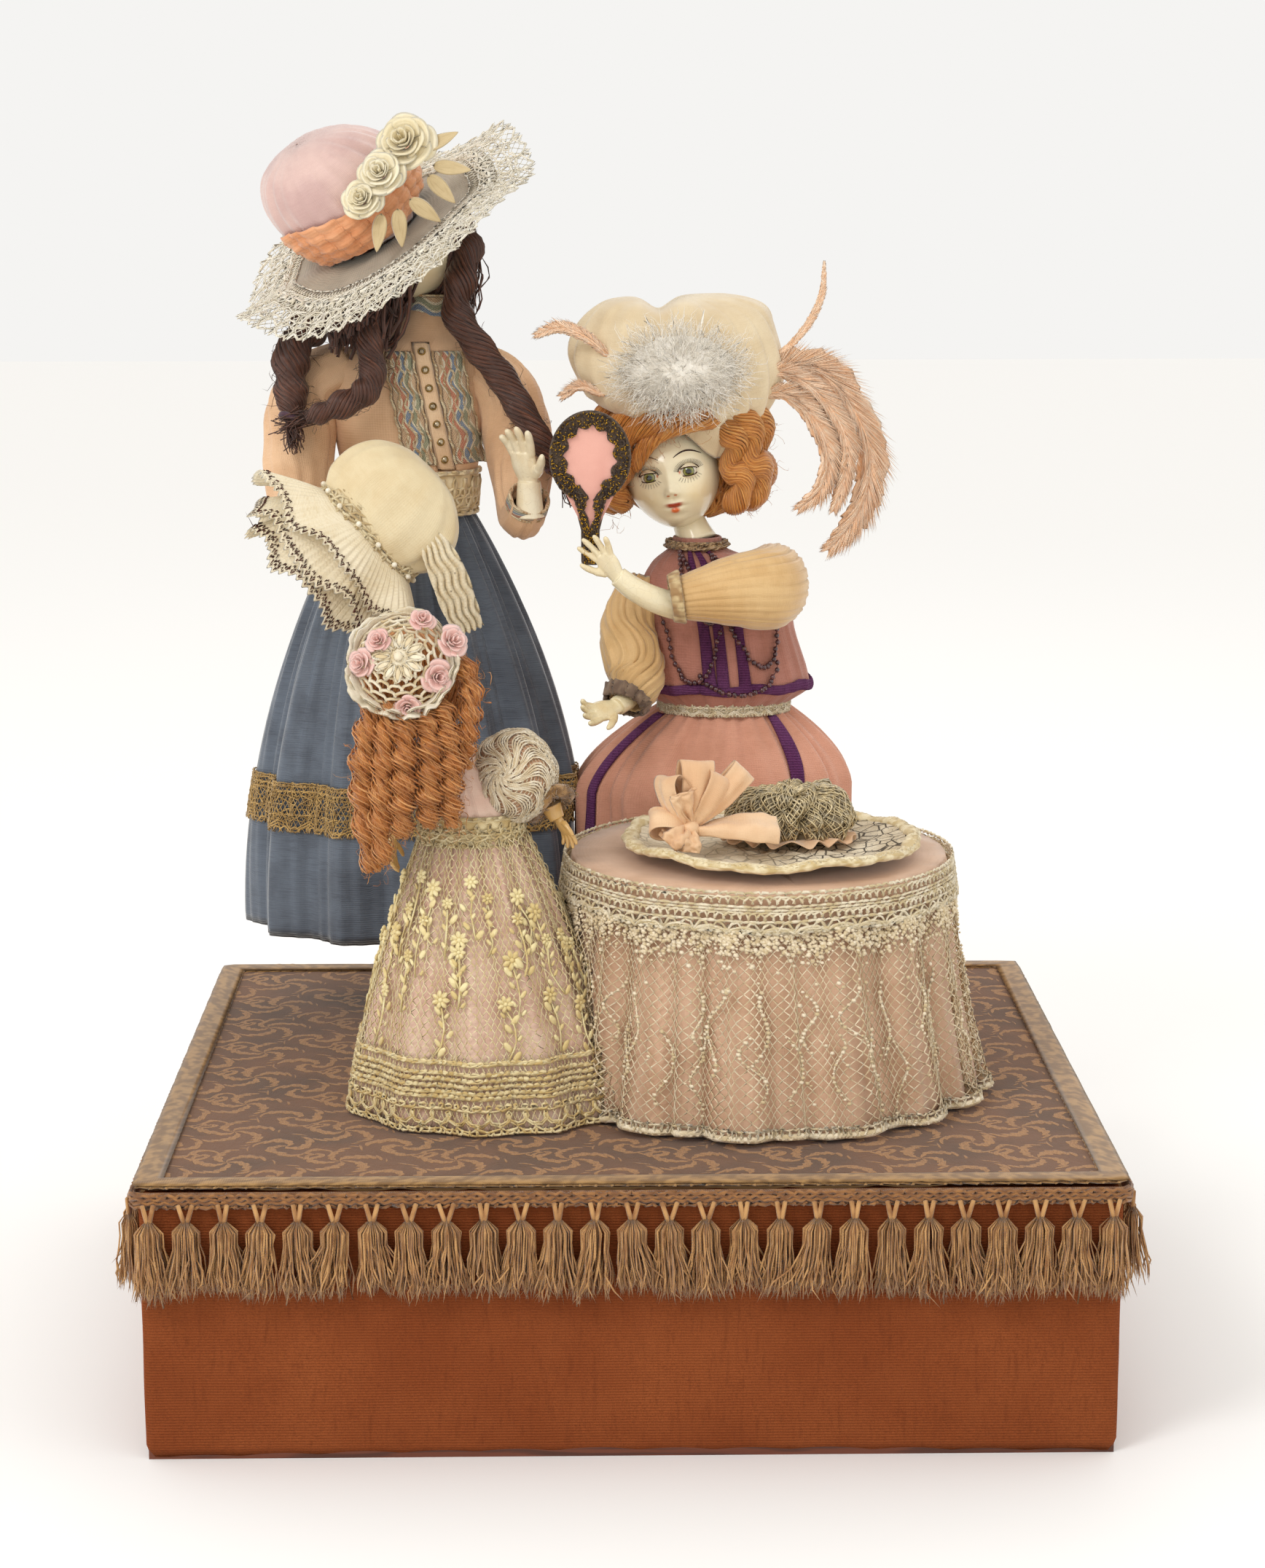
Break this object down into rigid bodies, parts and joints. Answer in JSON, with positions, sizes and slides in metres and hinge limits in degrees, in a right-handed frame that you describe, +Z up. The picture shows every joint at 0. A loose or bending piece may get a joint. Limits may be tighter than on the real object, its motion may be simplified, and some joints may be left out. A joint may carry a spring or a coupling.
{
  "type": "automaton doll tableau",
  "caption": "Clockwork tableau of costumed dolls round a draped table, on a velvet-covered, tassel-fringed box that holds the spring-driven cam movement.",
  "frame": {"origin": "centre of the box's underside", "axes": "+Z up; +X to the viewer's right; +Y away from the viewer, towards the key at the back"},
  "size_m": [0.3996, 0.3833, 0.5138],
  "materials": {
    "box_wood": "sanded pine, hidden under the covers",
    "velvet": "short-pile rust velvet",
    "tapestry": "brown damask with a tan scroll weave",
    "braid": "tan gimp braid",
    "tassel": "silky tan yarn",
    "movement_brass": "brushed brass",
    "steel": "fine brushed steel",
    "boots": "dark satin leather",
    "taffeta": "blue-grey taffeta with a soft sheen",
    "peach_linen": "peach linen with embroidered stripes",
    "composition": "ivory painted composition",
    "ivory_gloss": "glossy ivory painted composition",
    "dark_hair": "dark brown glossy fibre",
    "copper_hair": "copper curls",
    "ginger_hair": "ginger ringlets",
    "hat_silk": "mauve silk, grey linen and cream lace",
    "cream_net": "cream pleated net",
    "stand_wood": "turned and stained",
    "rose_cotton": "rose cotton with purple ribbons",
    "mauve_cotton": "mauve-rose cotton with purple trim",
    "hat_tulle": "draped cream-beige tulle",
    "feather": "peach and white feathers",
    "cream_silk": "pleated cream silk",
    "mirror_felt": "pink felt in a black and gold braid edge",
    "dress_lace": "yellow-cream embroidered net over a pink lining",
    "cream_crochet": "cream crochet with pink rosebuds",
    "table_net": "cream net over a pale pink lining",
    "crackle_net": "grey-beige straw with dark net and a rolled lace rim",
    "apricot_silk": "apricot silk ribbon",
    "metal_mesh": "sparkling grey-gold mesh"
  },
  "bodies": {
    "base": {"bottom_board": "box_wood", "box_sides": "box_wood", "top_board": "box_wood", "velvet_cover": "velvet", "tapestry_cover": "tapestry", "gimp_braid": "braid", "tassel_fringe": "tassel", "front_plate": "movement_brass", "back_plate": "movement_brass", "cam_bracket": "movement_brass", "girl_legs": "boots", "girl_skirt": "taffeta", "girl_blouse": "peach_linen", "girl_left_hand": "composition", "girl_plaits": "dark_hair", "stool": "stand_wood", "lady_skirt": "rose_cotton", "lady_jacket": "mauve_cotton", "lady_right_sleeve": "cream_silk", "lady_right_hand": "ivory_gloss", "child_stand": "stand_wood", "child_dress": "dress_lace", "child_left_hand": "composition", "table": "stand_wood", "table_cloth": "table_net", "plate_hat": "crackle_net", "hat_bow": "apricot_silk", "hat_ornament": "metal_mesh"},
    "winding": {"winding_key": "steel", "winding_arbor": "steel"},
    "barrel": {"spring_barrel": "movement_brass", "mainspring": "steel"},
    "train_wheel": {"intermediate_wheel": "movement_brass"},
    "fly": {"fly_governor": "steel"},
    "cams": {"camshaft": "movement_brass"},
    "stop_lever": {"start_lever": "steel"},
    "girl_arm_follower": {"girl_arm_lever": "steel"},
    "girl_head_follower": {"girl_head_lever": "steel"},
    "child_follower": {"child_lever": "steel"},
    "lady_arm_follower": {"lady_arm_lever": "steel"},
    "lady_head_follower": {"lady_head_lever": "steel"},
    "girl_rod": {"girl_push_rod": "steel"},
    "lady_rod": {"lady_push_rod": "steel"},
    "girl_head_group": {"girl_head": "composition", "girl_hair": "dark_hair", "girl_hat": "hat_silk"},
    "girl_forearm": {"girl_right_forearm": "composition", "bonnet": "cream_net"},
    "lady_head_group": {"lady_head": "ivory_gloss", "lady_hair": "copper_hair", "lady_hat": "hat_tulle", "lady_plume": "feather"},
    "lady_arm": {"lady_left_sleeve": "cream_silk", "lady_left_hand": "ivory_gloss", "hand_mirror": "mirror_felt"},
    "child_head_group": {"child_head": "composition", "child_hair": "ginger_hair", "child_cap": "cream_crochet"},
    "child_hand": {"child_right_hand": "composition"}
  },
  "joints": [
    {"name": "winding_turn", "type": "hinge", "parent": "base", "child": "winding", "pos_m": [0.0105, 0.13, 0.044], "axis": [0, 1, 0], "continuous": true},
    {"name": "barrel_turn", "type": "hinge", "parent": "base", "child": "barrel", "pos_m": [0.0105, 0.13, 0.044], "axis": [0, 1, 0], "continuous": true},
    {"name": "train_wheel_turn", "type": "hinge", "parent": "base", "child": "train_wheel", "pos_m": [0.04104, 0.13, 0.05838], "axis": [0, 1, 0], "continuous": true},
    {"name": "fly_turn", "type": "hinge", "parent": "base", "child": "fly", "pos_m": [0.0618, 0.13, 0.05524], "axis": [0, 1, 0], "continuous": true},
    {"name": "camshaft_turn", "type": "hinge", "parent": "base", "child": "cams", "pos_m": [-0.03, 0.13, 0.044], "axis": [0, 1, 0], "continuous": true},
    {"name": "start_slide", "type": "slide", "parent": "base", "child": "stop_lever", "axis": [1, 0, 0], "range_m": [-0.008, 0]},
    {"name": "girl_arm_lever_tilt", "type": "hinge", "parent": "base", "child": "girl_arm_follower", "pos_m": [-0.058, 0.1, 0.066], "axis": [0, -1, 0], "range_deg": [-6.6, 6.6]},
    {"name": "girl_head_lever_tilt", "type": "hinge", "parent": "base", "child": "girl_head_follower", "pos_m": [-0.058, 0.088, 0.066], "axis": [0, -1, 0], "range_deg": [-6.6, 6.6]},
    {"name": "child_lever_tilt", "type": "hinge", "parent": "base", "child": "child_follower", "pos_m": [-0.058, -0.043, 0.066], "axis": [0, -1, 0], "range_deg": [-4.8, 4.8]},
    {"name": "lady_arm_lever_tilt", "type": "hinge", "parent": "base", "child": "lady_arm_follower", "pos_m": [-0.002, 0.092, 0.066], "axis": [0, 1, 0], "range_deg": [-6.6, 6.6]},
    {"name": "lady_head_lever_tilt", "type": "hinge", "parent": "base", "child": "lady_head_follower", "pos_m": [-0.002, 0.08, 0.066], "axis": [0, 1, 0], "range_deg": [-6.6, 6.6]},
    {"name": "girl_rod_lift", "type": "slide", "parent": "base", "child": "girl_rod", "axis": [0, 0, 1], "range_m": [-0.0058, 0.0058]},
    {"name": "lady_rod_lift", "type": "slide", "parent": "base", "child": "lady_rod", "axis": [0, 0, 1], "range_m": [-0.0072, 0.0072]},
    {"name": "girl_head_yaw", "type": "hinge", "parent": "base", "child": "girl_head_group", "pos_m": [-0.084, 0.1, 0.44], "axis": [0, 0, 1], "range_deg": [-12, 12]},
    {"name": "girl_elbow", "type": "hinge", "parent": "base", "child": "girl_forearm", "pos_m": [-0.1455, 0.0745, 0.337], "axis": [-0.6, -0.8, 0], "range_deg": [-8.5, 8.5]},
    {"name": "lady_head_yaw", "type": "hinge", "parent": "base", "child": "lady_head_group", "pos_m": [0.034, 0.092, 0.335], "axis": [0, 0, 1], "range_deg": [-12, 12]},
    {"name": "lady_shoulder", "type": "hinge", "parent": "base", "child": "lady_arm", "pos_m": [0.06888, 0.092, 0.31094], "axis": [0, 1, 0], "range_deg": [-4.2, 4.2]},
    {"name": "child_head_yaw", "type": "hinge", "parent": "base", "child": "child_head_group", "pos_m": [-0.072, -0.055, 0.268], "axis": [0, 0, 1], "range_deg": [-8.5, 8.5]},
    {"name": "child_elbow", "type": "hinge", "parent": "base", "child": "child_hand", "pos_m": [-0.03168, -0.058, 0.23986], "axis": [0, -1, 0], "range_deg": [-7.5, 7.5]}
  ],
  "couplings": [
    {"joint": "train_wheel_turn", "follows": "barrel_turn", "ratio": -4},
    {"joint": "fly_turn", "follows": "barrel_turn", "ratio": 12},
    {"joint": "camshaft_turn", "follows": "barrel_turn", "ratio": -2},
    {"joint": "girl_rod_lift", "follows": "girl_arm_lever_tilt", "m_per_rad": -0.048},
    {"joint": "girl_elbow", "follows": "girl_arm_lever_tilt", "ratio": 1.2},
    {"joint": "girl_head_yaw", "follows": "girl_head_lever_tilt", "ratio": -1.7},
    {"joint": "lady_rod_lift", "follows": "lady_arm_lever_tilt", "m_per_rad": -0.06},
    {"joint": "lady_shoulder", "follows": "lady_arm_lever_tilt", "ratio": 0.6},
    {"joint": "lady_head_yaw", "follows": "lady_head_lever_tilt", "ratio": 1.7},
    {"joint": "child_head_yaw", "follows": "child_lever_tilt", "ratio": 1.7},
    {"joint": "child_elbow", "follows": "child_lever_tilt", "ratio": 1.5}
  ]
}
